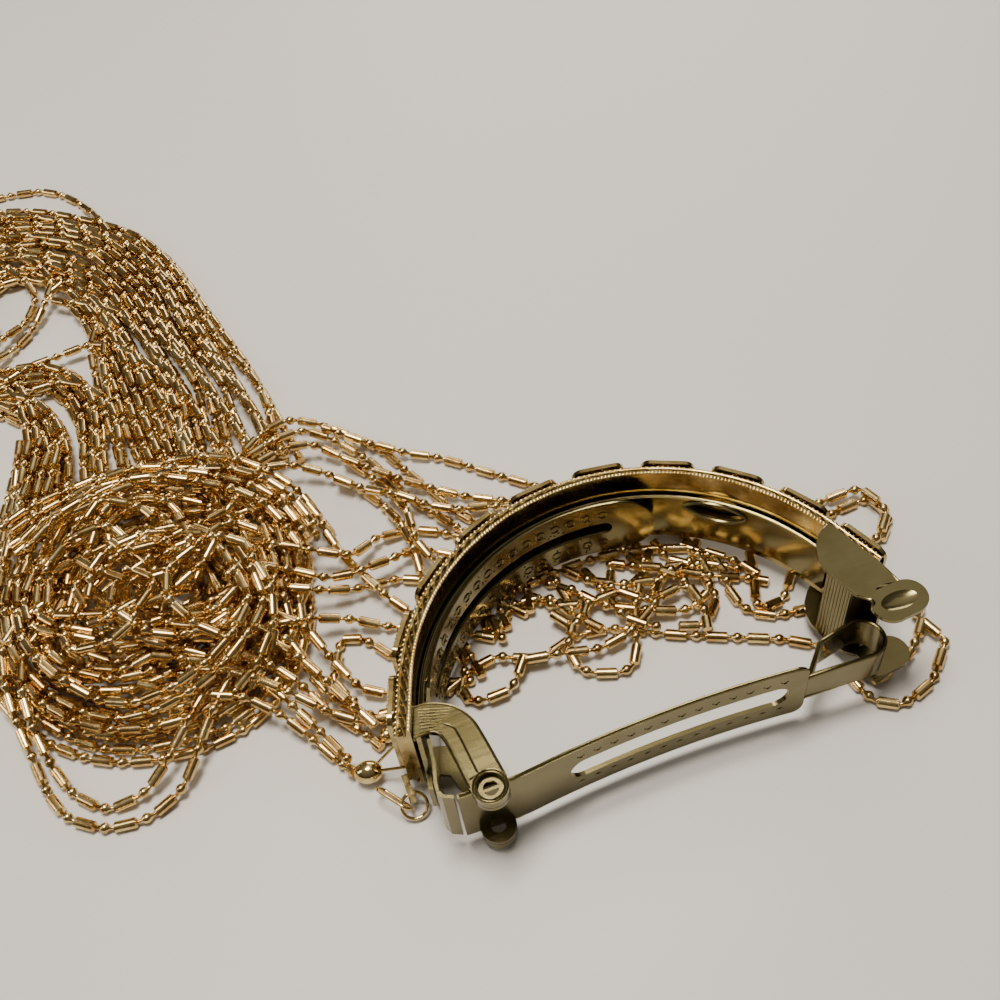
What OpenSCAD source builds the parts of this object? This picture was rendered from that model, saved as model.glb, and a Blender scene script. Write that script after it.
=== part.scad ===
// Ponytail cuff with a hinged spring clasp and a ball and bar chain tassel, lying on its long edge.
// Origin: centre of the arch, on the surface that the chains lie on. +Y points to the crown of the arch.

/* [Cuff] */
// Inside radius of the arch
cuff_r = 25.6; // [24:0.1:28]
// Height of the cuff, along the hair
cuff_h = 11.7; // [10.8:0.1:13]
// Angle from the crown to where the straight ends start
arch_half = 70; // [66:1:74]
// Length of each straight end
end_len = 6.3; // [5.5:0.1:7]
// Gap under the cuff, which lies on its chains
edge_z = 1.3; // [1.3:0.1:1.6]
// Thickness of the cast wall between the plaques
wall_t = 1.6; // [1.4:0.1:1.8]
// Number of raised plaques
plaque_n = 10; // [8:1:10]
// Length of a plaque
plaque_l = 6.3; // [5.5:0.1:6.8]
// Distance between plaque centres, along the outside
plaque_pitch = 7.9; // [7.4:0.1:8.2]
// Distance from the crown to the middle of the last plaque on the right
plaque_last = 36.3; // [35.5:0.1:36.5]

/* [Clasp] */
// Middle height of the clasp
clip_mid = 6.3; // [6.2:0.1:6.5]
// Width of the clasp over its ears
clip_w = 10; // [9.6:0.1:10]
// Width of the base strip
strip_w = 6.3; // [5:0.1:7]
// Thickness of the clasp's sheet metal
sheet_t = 0.5; // [0.4:0.05:0.6]
// Width of the spring bow and of the arm
blade_w = 8.8; // [8:0.1:8.8]
// Radius of the hole in the ears
pivot_r = 1.35; // [1.2:0.05:1.4]
// Outer radius of the collar round that hole
collar_r = 1.9; // [1.8:0.05:2]
// Width of the slot in the arm
arm_slot_w = 3.4; // [2.5:0.1:3.6]
// Width of the slot in the spring bow
bow_slot_w = 2; // [1.5:0.1:2.4]
// Height of the loop at the end of the arm
loop_h = 4.2; // [3.6:0.1:4.6]

/* [Chains] */
// Radius of a single chain
chain_r = 0.58; // [0.5:0.02:0.6]
// Half width of a lock of chains
lock_w = 2.3; // [2:0.1:2.5]
// Half height of a lock of chains
lock_h = 1.25; // [1:0.05:1.4]

/* [Hidden] */
$fn = 96;
gold = "goldenrod";
pale_gold = "darkkhaki";
rose_gold = "peru";
eps = 0.01;
seam = 0.002;

rim_w = 0.4;
rim_drop = 1.1;
ledge_drop = 0.75;
bead_r = 0.28;
outer_r = cuff_r + wall_t;
cuff_top = edge_z + cuff_h;
cuff_mid = edge_z + cuff_h / 2;
lattice_step = 3.2;
lattice_a = 1.05;
lattice_depth = 0.5;
plaque_h = 10.3;
plaque_t = 0.95;
plaque_sink = 0.22;
plate_from = 0.7;
foot_w = 1.6;
plaque_corner = 1.2;
border_w = 0.5;
border_t = 0.25;
boss_w = 2.6;

strip_r = cuff_r - 0.2 - sheet_t;
bow_t = 0.35;
bow_r = 23.8;
bow_c = [-0.56, 0.2];
bow_end = 65;

pivot = [-20.6, -5.25];
ear_low = clip_mid - clip_w / 2;
ear_high = clip_mid + clip_w / 2;
collar_t = 1;
arm_r = 140;
arm_apex = [-2, -3.95];
arm_from = -24;
arm_bend = -18.5;
arm_to = 14.6;
arm_low = clip_mid - blade_w / 2;
arm_slot_from = -12;
arm_slot_to = 12.8;
arm_corner_r = 1.2;
boss_r = pivot_r - 0.05;
loop_big = [22.4, -3];
loop_big_r = 2.5;
loop_small = [18.6, -2.7];
loop_small_r = 1.4;
loop_tip = [14.4, -5];

wing_low = 2;
wing_high = 13.05;
dish_deep = 0.25;
dish_long = 6;
dish_wide = 2.5;
hinge_x = -28.1;
lug_y = 1.9;
lug_z = 2.2;
ring_r = 1.4;
ring_tilt = 35;
ring_wire = 0.2;
bead_at = [-31.6, 6.4, 1.45];
fall_from = 57;

// Hand-chosen routes of the single chains, seen from above
front_routes = [
    [[-62, 42], [-67, 39], [-68, 32], [-67, 24], [-65, 16], [-61, 12], [-56, 11], [-51, 13], [-47, 18],
        [-42, 24]],
    [[-60, 40], [-65, 36], [-66, 28], [-64, 19], [-60, 14], [-55, 14], [-51, 17], [-46, 22], [-42, 27]],
    [[-50, 24], [-42, 20], [-38, 16], [-35, 11], [-34, 8]],
    [[-46, 26], [-40, 21], [-35, 15], [-34, 8]],
    [[-44, 28], [-37, 21], [-34, 16], [-31, 12], [-30, 11]],
    [[-40, 30], [-35, 24], [-34, 19], [-31, 15], [-28, 13], [-22, 13]],
    [[-30, 14], [-32, 18], [-31, 22], [-29, 25], [-26, 22], [-23, 17], [-20, 14], [-16, 13]],
    [[-40, 28], [-32, 27], [-28, 26], [-24, 24], [-18, 21], [-12, 17]]];
net_routes = [
    [[-40, 35], [-31, 31], [-26, 30], [-20, 30], [-13, 25], [-8, 19]],
    [[-40, 46], [-29, 45], [-27, 39], [-25, 32], [-22, 26], [-17, 20], [-16, 13]],
    [[-38, 38], [-28, 32], [-22, 32], [-17, 33], [-11, 28], [-11, 18]],
    [[-38, 42], [-26, 35], [-21, 37], [-15, 36], [-9, 30], [-7, 23], [-8, 18]],
    [[-38, 53], [-29, 57], [-24, 57], [-19, 51], [-16, 43], [-12, 35], [-9, 28], [-9, 20]],
    [[-39, 50], [-35, 55], [-28, 60], [-22, 58], [-17, 52], [-14, 45], [-10, 36], [-4, 29], [-3, 18]],
    [[-38, 51], [-30, 52], [-24, 49], [-20, 44], [-18, 37], [-18, 30], [-19, 22], [-17, 17], [-19, 12]],
    [[-34, 53], [-26, 55], [-20, 49], [-17, 40], [-17, 32], [-13, 26], [-12, 16]],
    [[-23, 57], [-15, 50], [-10, 47], [-5, 42], [1, 36], [6, 29], [8, 22], [6, 18]],
    [[-22, 51], [-13, 42], [-7, 38], [-2, 35], [3, 30], [4, 23], [2, 18]],
    [[-24, 48], [-13, 38], [-6, 36], [1, 32], [12, 26], [14, 20], [14, 15]]];
arch_routes = [
    [[-24, 12.4], [-20, 13], [-15, 15], [-9, 13], [-4, 14], [1, 13], [6, 10], [12, 7], [18, 4], [22, 1]],
    [[-4, 15], [-6, 11], [-3, 8], [1, 8], [3, 13], [6, 18]],
    [[-13, 22], [-13, 18], [-9, 21], [-5, 20], [-3, 16], [-1, 13]],
    [[2, 19], [3, 17], [6, 15], [10, 19], [13, 17], [13, 12], [9, 9], [6, 11]],
    [[-3, 21], [1, 16], [6, 13], [11, 12], [14, 15]],
    [[12, 22], [16, 17], [15, 12], [17, 8], [21, 7], [28, 6], [32, 4], [34, 1]],
    [[20, 17], [19, 14], [17, 9], [20, 9], [23, 12], [27, 16], [32, 18], [37, 18], [38, 15], [35, 12]],
    [[-18, 14], [-19, 11], [-14, 10], [-10, 14]],
    [[33, 3], [33, -1], [34, -3], [32, -5], [30, -7], [27, -8], [24, -8], [23, -5]],
    [[33, 0], [31, -2], [28.6, -3.6]]];

// Locks of the long fall, right edge first. Each row is x, y and the height of the lock's middle
fall_locks = [
    [[-28.5, 54, 2], [-30.5, 68, 1.4], [-33.5, 83, 1.4], [-35.5, 97, 1.4], [-39, 108, 1.4],
        [-46, 117, 1.4], [-55, 125, 1.4], [-67, 128, 1.4], [-77, 122.5, 1.4], [-82.5, 112, 1.4],
        [-81, 100, 1.4], [-74, 91, 1.4], [-64, 86.5, 1.4], [-56.5, 83.5, 1.4], [-53.5, 75, 1.6],
        [-54, 64, 2], [-55, 54, 3]],
    [[-32.5, 54, 2.4], [-34.5, 70, 1.6], [-37.5, 86, 1.6], [-39.8, 99, 1.6], [-43.5, 109, 1.6],
        [-51, 117, 1.6], [-59, 122, 1.6], [-67, 122.5, 1.6], [-74, 117, 1.6], [-77.5, 108, 1.6],
        [-77, 98, 1.6], [-74, 90, 1.6], [-69, 84.5, 1.6], [-62.5, 80.5, 1.6], [-59.3, 74, 1.8],
        [-58.8, 66, 2.2], [-61, 54, 3.4]],
    [[-36.5, 54, 2.4], [-38.5, 72, 1.7], [-41.5, 88, 1.7], [-44, 100, 1.7], [-48.5, 109, 1.7],
        [-55, 114.5, 1.7], [-62, 117.5, 1.7], [-68.5, 116, 1.7], [-72, 110, 1.7], [-72, 103, 1.7],
        [-67.5, 100, 1.7]],
    [[-40.5, 56, 2.6], [-42.5, 76, 1.8], [-45.5, 91, 1.8], [-48.5, 100.5, 1.8], [-53, 107, 1.8],
        [-59.5, 111, 1.8], [-65, 109, 1.8], [-66.5, 103, 1.6], [-63, 98.5, 1.6], [-58.5, 99.5, 1.5]],
    [[-44.5, 56, 2.6], [-46.5, 72, 1.9], [-47.3, 86, 1.8], [-48.3, 94, 1.6], [-51, 101, 1.5]]];

// One chain that strays from the turn of the fall
stray_route = [[-79, 119], [-75, 129], [-67, 133.5], [-60, 133.8], [-53, 132], [-48.7, 127.8], [-46, 122],
    [-43.5, 112]];

// Rings of the tangled nest, from the outside in
function nest_rings() = [
    // centre x, centre y, half width, half depth, height of its middle
    [-50, 38.5, 20, 17, 1.6],
    [-50, 40, 15.5, 13.5, 1.8],
    [-48, 41, 17.5, 14.5, 3.4],
    [-50, 39, 12, 11, 4.2],
    [-47, 42, 13.5, 11, 5.4],
    [-49, 41, 7.5, 6.5, 6]];

// A point on the smooth curve from b to c, whose neighbours are a and d
function between(a, b, c, d, t) =
    0.5 * (2 * b + (c - a) * t + (2 * a - 5 * b + 4 * c - d) * t * t + (3 * b - a - 3 * c + d) * t * t * t);

function last(list) = len(list) - 1;

function smoothed(p, n) = [
    for (i = [0 : last(p) - 1])
        for (k = [0 : n - 1])
            between(p[max(i - 1, 0)], p[i], p[i + 1], p[min(i + 2, last(p))], k / n),
    p[last(p)]];

function at_height(p, z) = [for (q = p) [q[0], q[1], z]];

function unit(v) = v / norm(v);

// Ring of points across a route, flat on the surface: w is its half width, h its half height
function ring_at(here, ahead, w, h, sides) =
    let (forward = unit([ahead[0], ahead[1], 0]), side = [-forward[1], forward[0], 0])
    [for (k = [0 : sides - 1]) here + side * w * cos(360 * k / sides) + [0, 0, h * sin(360 * k / sides)]];

module tube(route, w, h, sides = 8) {
    end = last(route);
    points = [for (i = [0 : end])
        each ring_at(route[i], route[min(i + 1, end)] - route[max(i - 1, 0)], w, h, sides)];
    walls = [for (i = [0 : end - 1], k = [0 : sides - 1])
        let (a = i * sides + k, b = i * sides + (k + 1) % sides)
        each [[a, a + sides, b], [b, a + sides, b + sides]]];
    polyhedron(points, concat([[for (k = [0 : sides - 1]) k]], walls,
        [[for (k = [sides - 1 : -1 : 0]) end * sides + k]]));
}

module closed_tube(route, w, h, sides = 8) {
    n = len(route);
    points = [for (i = [0 : n - 1])
        each ring_at(route[i], route[(i + 1) % n] - route[(i + n - 1) % n], w, h, sides)];
    walls = [for (i = [0 : n - 1], k = [0 : sides - 1])
        let (a = i * sides + k, b = i * sides + (k + 1) % sides,
            c = ((i + 1) % n) * sides + k, d = ((i + 1) % n) * sides + (k + 1) % sides)
        each [[a, c, b], [b, c, d]]];
    polyhedron(points, walls);
}

// The part of a route outside the circle of radius r, or inside it where side is -1
function beyond(p, r, side) = [
    for (i = [0 : last(p)])
        let (here = side * (norm(p[i]) - r), next = i < last(p) ? side * (norm(p[i + 1]) - r) : here)
        each concat(here > 0 ? [p[i]] : [],
            here * next < 0 ? [p[i] + (p[i + 1] - p[i]) * here / (here - next)] : [])];

module chains(routes, r, side) {
    for (route = routes) {
        kept = beyond(smoothed(route, 2), r, side);
        if (len(kept) > 1)
            tube(at_height(kept, chain_r), chain_r, chain_r);
    }
}

// Sweeps a profile, drawn as distance from the middle and height, along the arch and its straight ends.
// The profile is the same above and below the height mid.
module along_arch(mid, right_end, left_end) {
    rotate([0, 0, 90 - arch_half])
        rotate_extrude(angle = 2 * arch_half)
            children();
    rotate([0, 0, 90 - arch_half])
        rotate([90, 0, 0])
            linear_extrude(right_end)
                children();
    rotate([0, 0, 90 + arch_half])
        translate([0, -seam, 2 * mid])
            rotate([-90, 0, 0])
                linear_extrude(left_end + seam)
                    children();
}

// Stands its children on the arch at s millimetres from the crown, with +Z pointing outwards
module on_arch(s, r, z) {
    arc = arch_half * PI / 180 * r;
    turn = 90 - sign(s) * min(abs(s), arc) / r * 180 / PI;
    over = max(abs(s) - arc, 0);
    rotate([0, 0, turn])
        translate([r, -sign(s) * over, z])
            rotate([0, 90, 0])
                rotate([0, 0, 90])
                    children();
}

module rounded_plate(l, w, corner) {
    square([l - 2 * corner, w], center = true);
    square([l, w - 2 * corner], center = true);
    for (x = [-1, 1], y = [-1, 1])
        translate([x * (l / 2 - corner), y * (w / 2 - corner)])
            circle(corner, $fn = 32);
}

module cuff_profile() {
    polygon([[cuff_r, edge_z], [cuff_r + rim_w, edge_z], [cuff_r + rim_w + 0.1, edge_z + ledge_drop],
        [outer_r, edge_z + rim_drop], [outer_r, cuff_top - rim_drop],
        [cuff_r + rim_w + 0.1, cuff_top - ledge_drop], [cuff_r + rim_w, cuff_top], [cuff_r, cuff_top]]);
    for (z = [edge_z + rim_drop, cuff_top - rim_drop])
        translate([outer_r, z])
            circle(bead_r, $fn = 20);
}

// A thin framed plate that stands off the wall on a smaller foot
module plaque() {
    linear_extrude(plate_from + 0.05)
        rounded_plate(plaque_l - foot_w, plaque_h - foot_w, plaque_corner);
    translate([0, 0, plate_from]) {
        linear_extrude(plaque_t - plate_from)
            rounded_plate(plaque_l, plaque_h, plaque_corner);
        difference() {
            linear_extrude(plaque_t + border_t - plate_from)
                rounded_plate(plaque_l, plaque_h, plaque_corner);
            translate([0, 0, -1])
                linear_extrude(3)
                    rounded_plate(plaque_l - 2 * border_w, plaque_h - 2 * border_w,
                        plaque_corner - border_w);
        }
        linear_extrude(plaque_t + border_t - plate_from)
            rounded_plate(plaque_l - boss_w, plaque_h - boss_w, plaque_corner);
    }
}

// Small lozenge pockets of the openwork in the ledge along one rim
module openwork(z) {
    for (a = [92 - arch_half : lattice_step : 88 + arch_half])
        rotate([0, 0, a])
            translate([cuff_r + rim_w + 0.62, 0, z])
                rotate([0, 0, 45])
                    cube([lattice_a * 0.6, lattice_a * 0.6, 2 * lattice_depth], center = true);
}

module cuff() {
    color(gold)
        difference() {
            union() {
                along_arch(cuff_mid, end_len, end_len)
                    cuff_profile();
                for (i = [0 : plaque_n - 1])
                    on_arch(plaque_last - i * plaque_pitch, outer_r - plaque_sink, cuff_mid)
                        plaque();
                end_lug();
            }
            openwork(cuff_top - ledge_drop);
            openwork(edge_z + ledge_drop);
            bead_wires(0.4);
        }
}

// Small eye at the lower corner of the hinge end
module end_lug() {
    difference() {
        translate([hinge_x - 0.35, lug_y - 0.8, edge_z])
            cube([0.7, 2.6, 1.9]);
        translate([hinge_x - 1, lug_y, lug_z])
            rotate([0, 90, 0])
                cylinder(r = 0.45, h = 2, $fn = 24);
    }
}

module strip_profile(w) {
    translate([strip_r, clip_mid - w / 2])
        square([sheet_t, w]);
}

module ear_outline() {
    difference() {
        union() {
            polygon([[-24.9, 6.4], [-23.7, 6.3], [-22.2, 5.7], [-20.9, 4.7], [-19.9, 3.1], [-19.4, 1],
                [pivot[0] + collar_r, pivot[1]], [pivot[0] - collar_r, pivot[1]], [-23, 0.8], [-23.4, 2.4],
                [-24.3, 2.9], [-26.1, 2.8]]);
            translate(pivot)
                circle(collar_r, $fn = 48);
        }
        translate(pivot)
            circle(pivot_r, $fn = 48);
    }
}

module ear_rib() {
    linear_extrude(0.25)
        polygon([[-23.2, 2.3], [-22.85, 1], [-22.3, -3.6], [-21.3, -3.4], [-21.6, 1.2], [-21.9, 2.6],
            [-22.7, 3.2]]);
}

module collar() {
    difference() {
        cylinder(r = collar_r, h = collar_t, $fn = 48);
        translate([0, 0, -1])
            cylinder(r = pivot_r, h = collar_t + 2, $fn = 48);
    }
}

module base_ear() {
    difference() {
        union() {
            linear_extrude(sheet_t)
                ear_outline();
            translate([0, 0, sheet_t - eps])
                ear_rib();
            translate([pivot[0], pivot[1], 0])
                collar();
        }
        for (i = [0 : 6])
            translate([-24.6, 5.1 - i * 0.4, sheet_t])
                rotate([0, 0, -8])
                    cube([3, 0.16, 0.2], center = true);
    }
}

module clasp_base() {
    color(pale_gold)
        difference() {
            union() {
                along_arch(clip_mid, 1.4, 2.6)
                    strip_profile(strip_w);
                rotate([0, 0, 90 + arch_half])
                    translate([0, 0, ear_low])
                        linear_extrude(clip_w)
                            polygon([[strip_r, 2.4], [strip_r + sheet_t, 2.4], [strip_r + sheet_t, 5.5],
                                [strip_r - 0.4, 8.6], [strip_r - 0.4 - sheet_t, 8.6], [strip_r, 5.5]]);
                rotate([0, 0, 90 + arch_half])
                    translate([0, 0, clip_mid - 2])
                        linear_extrude(4)
                            polygon([[strip_r - 0.3, 8.2], [strip_r - 0.7, 10.4],
                                [strip_r - 0.7 - sheet_t, 10.4], [strip_r - 0.3 - sheet_t, 8.2]]);
                translate([0, 0, ear_high - sheet_t])
                    base_ear();
                translate([0, 0, ear_low + sheet_t])
                    mirror([0, 0, 1])
                        base_ear();
            }
            lance_cut();
        }
}

// Almond-shaped opening lanced through the strip near the catch
module lance_cut() {
    rotate([0, 0, 50])
        translate([cuff_r - 3, 0, clip_mid + 1.9])
            rotate([0, 90, 0])
                rotate([0, 0, 90])
                    linear_extrude(4)
                        intersection() {
                            translate([0, 5.6])
                                circle(6.8);
                            translate([0, -5.6])
                                circle(6.8);
                        }
}

// Thumb wing, seen from above. The upper one also reaches over the rim, by about the distance over
module wing_outline(over) {
    difference() {
        union() {
            polygon([[23.3 + over, 8.55 + over * 0.3], [22.5, 7.9], [21.5, 6.7], [20.9, 5.2], [20.8, 3.8],
                [21.3, 2], [22.2, -0.6], [23.2, -1.6], [24.8, -0.4], [26.9, -0.8],
                [26.2 + over * 0.5, 1.6], [25 + over * 0.6, 5]]);
            translate([26.9, -2.8])
                circle(2.1);
            translate([24.8, -3])
                circle(2.1);
            polygon([[24.8, -5.1], [26.9, -4.9], [27, -0.7], [24, -0.9]]);
        }
        translate([22.9, -2])
            circle(0.55, $fn = 24);
    }
}

// Oval dish pressed into the pad of the upper wing
module thumb_dish() {
    translate([25.8, -2.9, wing_high + sheet_t - dish_deep + dish_long + dish_wide])
        rotate([90, 0, 0])
            rotate_extrude()
                translate([dish_long, 0])
                    circle(dish_wide);
}

module catch() {
    color(pale_gold)
        difference() {
            catch_sheet();
            thumb_dish();
        }
}

// Back wall, two wings and the short web between their inner edges
module catch_sheet() {
    union() {
        rotate([0, 0, 90 - arch_half])
            rotate([90, 0, 0])
                translate([strip_r, wing_low, 1.7])
                    linear_extrude(7.3)
                        square([sheet_t, wing_high + sheet_t - wing_low]);
        translate([0, 0, wing_high])
            linear_extrude(sheet_t)
                wing_outline(1);
        translate([0, 0, wing_low])
            linear_extrude(sheet_t)
                wing_outline(0);
        translate([0, 0, wing_low + 0.1])
            linear_extrude(wing_high - wing_low + 0.2)
                polygon([[21, 3.3], [22.02, 0.1], [22.47, 0.2], [21.5, 3.4]]);
    }
}

module bow_profile(w) {
    translate([bow_r - bow_t, clip_mid - w / 2])
        square([bow_t, w]);
}

// The spring bow: a slotted blade with a rounded free end, whose foot runs down and curls under the hinge
module spring_bow() {
    sweep = 90 + arch_half - bow_end;
    round_end = blade_w / 2;
    lead = asin(round_end / bow_r);
    slot_end = asin((round_end + 1.6) / bow_r);
    color(pale_gold)
        translate(bow_c)
            difference() {
                union() {
                    rotate([0, 0, bow_end])
                        rotate_extrude(angle = sweep)
                            bow_profile(blade_w);
                    rotate([0, 0, 90 + arch_half])
                        translate([0, 0, clip_mid - blade_w / 2])
                            linear_extrude(blade_w)
                                polygon([[bow_r - bow_t, -seam], [bow_r, -seam], [bow_r, 5.2],
                                    [bow_r - 0.8, 8.6], [bow_r - 1.05, 10.9], [bow_r - 1.3, 11.9],
                                    [bow_r - 1.9, 12.5],
                                    [bow_r - 3.1, 12.65], [bow_r - 3.1, 12.3], [bow_r - 2.05, 12.15],
                                    [bow_r - 1.62, 11.7], [bow_r - 1.4, 10.9], [bow_r - 1.15, 8.6],
                                    [bow_r - bow_t, 5.2]]);
                }
                rotate([0, 0, bow_end + lead])
                    translate([bow_r - 4, 0, clip_mid])
                        rotate([0, 90, 0])
                            linear_extrude(6)
                                difference() {
                                    translate([-round_end - 1, -round_end - 1])
                                        square([2 * round_end + 2, round_end + 1]);
                                    circle(round_end);
                                }
                rotate([0, 0, bow_end + slot_end])
                    rotate_extrude(angle = sweep - slot_end - 6)
                        translate([bow_r - 2, clip_mid - bow_slot_w / 2])
                            square([4, bow_slot_w]);
                for (a = [bow_end + slot_end, bow_end + sweep - 6])
                    rotate([0, 0, a])
                        translate([bow_r - 2, 0, clip_mid])
                            rotate([0, 90, 0])
                                cylinder(r = bow_slot_w / 2, h = 4, $fn = 32);
            }
}

// The point where a line from the tip touches a circle, on the side given as 1 or -1
function touch(tip, c, r, side) =
    let (way = atan2(tip[1] - c[1], tip[0] - c[0]) + side * acos(r / norm(tip - c)))
    c + r * [cos(way), sin(way)];

// The loop at the end of the arm: its outside, or its inside where inset is the sheet's thickness
module loop_shape(inset, tip) {
    big = loop_big_r - inset;
    small = loop_small_r - inset;
    run = loop_big - loop_small;
    normal = atan2(run[1], run[0]) + acos((small - big) / norm(run));
    translate(loop_big)
        circle(big);
    translate(loop_small)
        circle(small);
    polygon([tip, touch(tip, loop_big, big, 1), loop_big, loop_big + big * [cos(normal), sin(normal)],
        loop_small + small * [cos(normal), sin(normal)], touch(tip, loop_small, small, -1)]);
}

module arm_tab(z) {
    translate([0, 0, z])
        linear_extrude(sheet_t)
            difference() {
                union() {
                    translate(pivot)
                        circle(collar_r, $fn = 48);
                    polygon([[pivot[0] - collar_r, pivot[1]], [pivot[0] + collar_r, pivot[1]],
                        [pivot[0] + collar_r + 0.1, -4.75], [pivot[0] - collar_r - 0.1, -4.6]]);
                }
                translate(pivot)
                    circle(0.8, $fn = 32);
            }
}

module arm_stub(z, h) {
    translate([pivot[0], pivot[1], z])
        difference() {
            cylinder(r = boss_r, h = h, $fn = 48);
            translate([0, 0, -1])
                cylinder(r = 0.8, h = h + 2, $fn = 32);
        }
}

// Middle of the arm's blade, seen from above: a shallow bow with a straighter tail
function arm_y(x) = x < arm_bend ? -4.85 + (arm_bend - x) * 0.05
    : arm_apex[1] - pow(x - arm_apex[0], 2) / (2 * arm_r);

module arm_blade() {
    step = (arm_to - arm_from) / 16;
    xs = [for (i = [0 : 16]) arm_from + i * step];
    translate([0, 0, arm_low])
        linear_extrude(blade_w)
            polygon(concat([for (x = xs) [x, arm_y(x) + sheet_t / 2]],
                [for (i = [16 : -1 : 0]) [xs[i], arm_y(xs[i]) - sheet_t / 2]]));
}

// Cuts the two corners of the blade round at the loop
module blade_corners() {
    for (side = [-1, 1])
        translate([arm_to - arm_corner_r, 0, clip_mid + side * (blade_w / 2 - arm_corner_r)])
            rotate([90, 0, 0])
                linear_extrude(8)
                    difference() {
                        translate([0, min(side, 0) * (arm_corner_r + 0.3)])
                            square(arm_corner_r + 0.3);
                        circle(arm_corner_r);
                    }
}

module clip_arm() {
    color(pale_gold)
        union() {
            difference() {
                arm_blade();
                translate([(arm_slot_from + arm_slot_to) / 2, 0, clip_mid])
                    rotate([90, 0, 0])
                        linear_extrude(8)
                            rounded_plate(arm_slot_to - arm_slot_from, arm_slot_w, arm_slot_w / 2 - eps);
                blade_corners();
            }
            translate([0, 0, clip_mid - loop_h / 2])
                linear_extrude(loop_h)
                    difference() {
                        loop_shape(0, loop_tip);
                        loop_shape(sheet_t, loop_tip + [1.3, 0.4]);
                    }
            arm_tab(arm_low);
            arm_tab(arm_low + blade_w - sheet_t);
            arm_stub(arm_low + blade_w - eps, 0.6);
            arm_stub(ear_low + 0.1, arm_low - ear_low);
            translate([pivot[0] - 0.85, pivot[1] - 0.15, arm_low + blade_w])
                cube([1.7, 0.3, 0.45]);
        }
}

module wire_ring(r, wire) {
    rotate_extrude($fn = 48)
        translate([r, 0])
            circle(wire, $fn = 16);
}

// Oval link that lies along X
module wire_oval(straight, r, wire) {
    for (side = [0, 180])
        rotate([0, 0, side])
            translate([straight / 2, 0, 0])
                rotate([0, 0, -90])
                    rotate_extrude(angle = 180)
                        translate([r, 0])
                            circle(wire, $fn = 16);
    for (y = [-r, r])
        translate([-straight / 2, y, 0])
            rotate([0, 90, 0])
                cylinder(r = wire, h = straight, $fn = 16);
}

// Jump ring in the eye at the hinge end
module left_ring() {
    color(pale_gold)
        translate([hinge_x, lug_y, lug_z])
            rotate([ring_tilt, 0, 0])
                translate([0, -ring_r, 0])
                    wire_ring(ring_r, ring_wire);
}

// Oval link that hooks the jump ring and reaches to the end bead
module left_link() {
    color(rose_gold)
        translate([-29.92, 2.16, 1.8])
            rotate([0, 0, 125])
                rotate([60, 0, 0])
                    wire_oval(2.8, 0.85, 0.2);
}

// Two wires that run from the end bead into the openwork of the cuff
module bead_wires(r) {
    for (turn = [[22, 5], [-3, -22]])
        translate(bead_at)
            rotate([0, 0, turn[1]])
                rotate([0, 90 - turn[0] - 18, 0])
                    cylinder(r = r, h = 5.4, $fn = 24);
}

// Crimped bead that gathers the two chains of the front corner
module left_bead() {
    color(pale_gold)
        union() {
            translate(bead_at)
                rotate([0, 0, -15])
                    rotate([0, 90, 0])
                        rotate_extrude($fn = 48)
                            intersection() {
                                translate([-0.6, 0])
                                    circle(1.9, $fn = 96);
                                translate([0, -1.5])
                                    square([2, 3]);
                            }
            bead_wires(0.18);
        }
}

module plain_bead(r) {
    rotate_extrude($fn = 48)
        intersection() {
            circle(r, $fn = 48);
            translate([0, -r])
                square([r, 2 * r]);
        }
}

module side_bead() {
    color(rose_gold)
        translate([-28.4, 10.2, 0.95])
            plain_bead(0.9);
}

// Long pinched bead that gathers the two chains of the front right corner
module right_bead() {
    color(gold)
        translate([25.6, -4.1, 0.98])
            rotate([0, 0, 24])
                rotate([0, 90, 0])
                    rotate_extrude($fn = 48)
                        intersection() {
                            translate([-2.15, 0])
                                circle(3.1, $fn = 96);
                            translate([0, -1.9])
                                square([2, 3.8]);
                        }
}

module fall_side(clear) {
    translate([-100, fall_from - clear, -1])
        cube([76, 100, 20]);
}

module tassel_nest() {
    color(rose_gold)
        difference() {
            union() {
                for (n = nest_rings())
                    closed_tube([for (a = [0 : 24 : 336])
                        [n[0] + n[2] * cos(a), n[1] + n[3] * sin(a), n[4] + 0.3 * sin(3 * a)]],
                        lock_w, lock_h);
                translate([-49.5, 40, 0])
                    nest_pad();
                fall_bundle();
                chains(front_routes, outer_r - 0.3, 1);
                chains(net_routes, outer_r - 0.3, 1);
            }
            fall_side(0.1);
        }
}

// Low mound under the rings
module nest_pad() {
    rows = [[0, 19.5, 16.5], [1.6, 19, 16], [4, 14, 12], [5.8, 8.5, 7.5]];
    sides = 24;
    points = [for (row = rows, k = [0 : sides - 1])
        [row[1] * cos(360 * k / sides), row[2] * sin(360 * k / sides), row[0] + 0.2]];
    walls = [for (i = [0 : last(rows) - 1], k = [0 : sides - 1])
        let (a = i * sides + k, b = i * sides + (k + 1) % sides)
        each [[a, a + sides, b], [b, a + sides, b + sides]]];
    polyhedron(points, concat([[for (k = [0 : sides - 1]) k]], walls,
        [[for (k = [sides - 1 : -1 : 0]) last(rows) * sides + k]]));
}

module fall_bundle() {
    for (lock = fall_locks)
        tube(smoothed(lock, 2), lock_w, lock_h);
    tube(at_height(smoothed(stray_route, 2), chain_r), chain_r, chain_r);
}

module tassel_fall() {
    color(rose_gold)
        intersection() {
            union()
                fall_bundle();
            fall_side(0);
        }
}

module arch_chains() {
    color(rose_gold)
        union() {
            chains(front_routes, cuff_r + 0.7, -1);
            chains(net_routes, cuff_r + 0.7, -1);
            chains(arch_routes, 0, 1);
        }
}

cuff();
clasp_base();
catch();
spring_bow();
clip_arm();
left_ring();
left_link();
left_bead();
side_bead();
right_bead();
tassel_nest();
tassel_fall();
arch_chains();
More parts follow.
